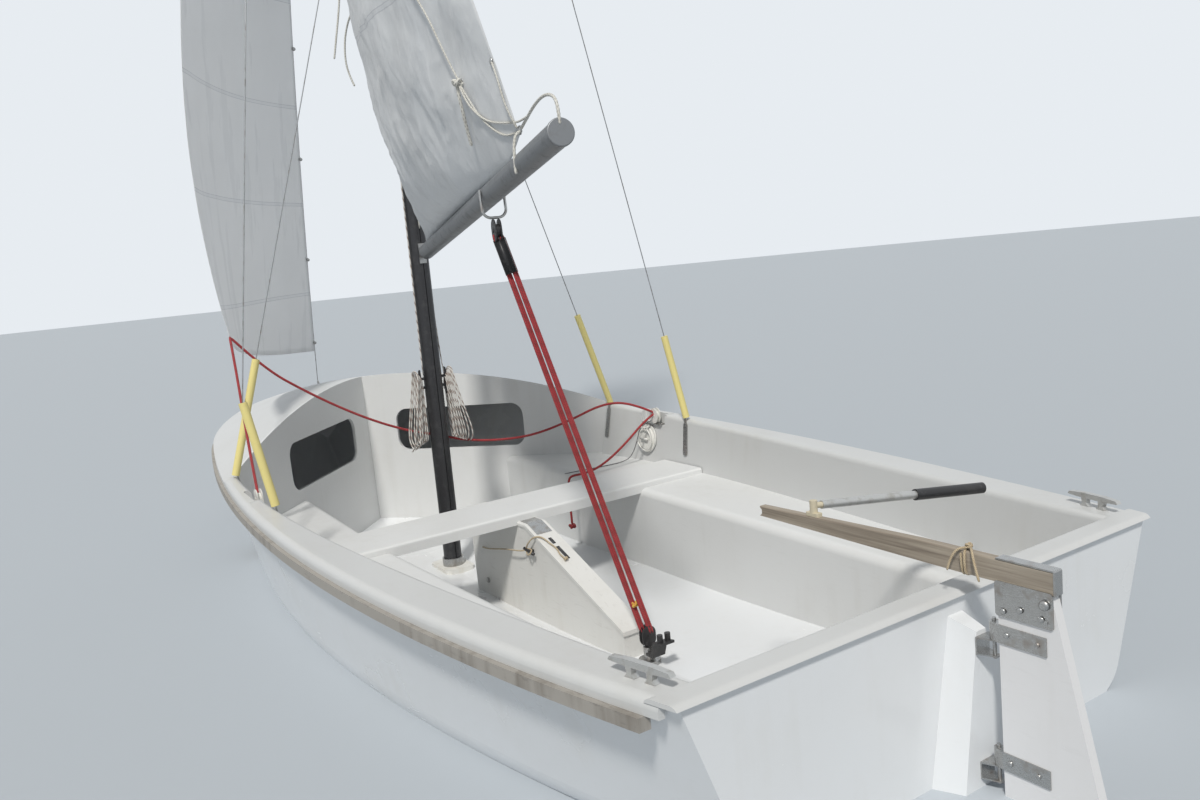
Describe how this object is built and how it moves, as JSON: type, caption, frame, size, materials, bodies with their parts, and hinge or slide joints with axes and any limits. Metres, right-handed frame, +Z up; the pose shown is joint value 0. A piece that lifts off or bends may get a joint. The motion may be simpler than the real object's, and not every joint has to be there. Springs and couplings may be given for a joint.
{
  "type": "sailing dinghy",
  "caption": "Open sailing dinghy with moulded hull and side benches, stayed mast, boom, mainsail and jib, pivoting centreboard and hung rudder with tiller.",
  "frame": {"origin": "on the centreline at the floating waterline, 2.18 m ahead of the transom", "axes": "+X to the bow, +Y to port, +Z up"},
  "size_m": [4.683, 1.8656, 7.0327],
  "materials": {
    "white_gelcoat": "gloss gel coat, worn",
    "grey_gelcoat": "satin gel coat",
    "strake_grey": "worn, matte",
    "centreboard_white": "gloss",
    "stainless": "brushed stainless",
    "wire": "stranded wire",
    "mast_black": "black anodised",
    "boom_grey": "anodised, weathered",
    "sailcloth": "woven sailcloth, creased",
    "tube_yellow": "faded plastic",
    "black_plastic": "matte",
    "white_plastic": "satin",
    "cream_rubber": "matte",
    "tiller_wood": "weathered, grey",
    "grip_foam": "foam",
    "cleat_grey": "cast"
  },
  "bodies": {
    "hull": {"hull_shell": "white_gelcoat", "foredeck": "grey_gelcoat", "bow_bulkhead": "white_gelcoat", "side_deck_port": "grey_gelcoat", "side_deck_starboard": "grey_gelcoat", "stern_deck": "grey_gelcoat", "rubbing_strake_port": "strake_grey", "rubbing_strake_starboard": "strake_grey", "bench_port": "white_gelcoat", "bench_starboard": "white_gelcoat", "thwart": "white_gelcoat", "case_side_port": "white_gelcoat", "case_side_starboard": "white_gelcoat", "case_end_posts": "white_gelcoat", "case_lid": "white_gelcoat", "case_plate": "stainless", "pivot_bolt": "stainless", "mast_step": "white_plastic", "mast_collar": "stainless", "mast": "mast_black", "mast_cap": "black_plastic", "mast_tangs": "stainless", "stem_fitting": "stainless", "forestay": "wire", "shrouds_port": "wire", "shrouds_starboard": "wire", "chainplates_port": "stainless", "chainplates_starboard": "stainless", "shroud_tubes_port": "tube_yellow", "shroud_tubes_starboard": "tube_yellow", "gooseneck": "stainless", "mainsheet_base": "stainless", "mainsheet_lower_block": "black_plastic", "cam_cleat": "black_plastic", "jib": "sailcloth", "fairlead_plates": "stainless", "jib_block_port": "white_plastic", "jib_block_starboard": "white_plastic", "inspection_hatch": "white_plastic", "quarter_cleats": "cleat_grey", "halyard_cleats": "cleat_grey", "transom_hangers": "stainless"},
    "rudder": {"rudder_blade": "white_gelcoat", "rudder_straps": "stainless", "rudder_cheeks": "stainless", "tiller": "tiller_wood", "tiller_strap": "stainless", "extension_joint": "cream_rubber", "tiller_extension": "boom_grey", "extension_grip": "grip_foam"},
    "centreboard": {"centreboard": "centreboard_white"},
    "boom": {"boom": "boom_grey", "boom_toggle": "boom_grey", "boom_end_cap": "boom_grey", "boom_bail": "stainless", "mainsheet_upper_block": "black_plastic", "mainsail": "sailcloth"}
  },
  "joints": [
    {"name": "rudder_turn", "type": "hinge", "parent": "hull", "child": "rudder", "pos_m": [-2.27, 0, 0.298], "axis": [0, 0, 1], "range_deg": [-35, 35]},
    {"name": "centreboard_lift", "type": "hinge", "parent": "hull", "child": "centreboard", "pos_m": [-0.02, 0, -0.088], "axis": [0, 1, 0], "range_deg": [0, 88]},
    {"name": "boom_swing", "type": "hinge", "parent": "hull", "child": "boom", "pos_m": [0.30891, 0, 1.2], "axis": [-0.0279, 0, 0.9996], "range_deg": [-39, 64]}
  ]
}
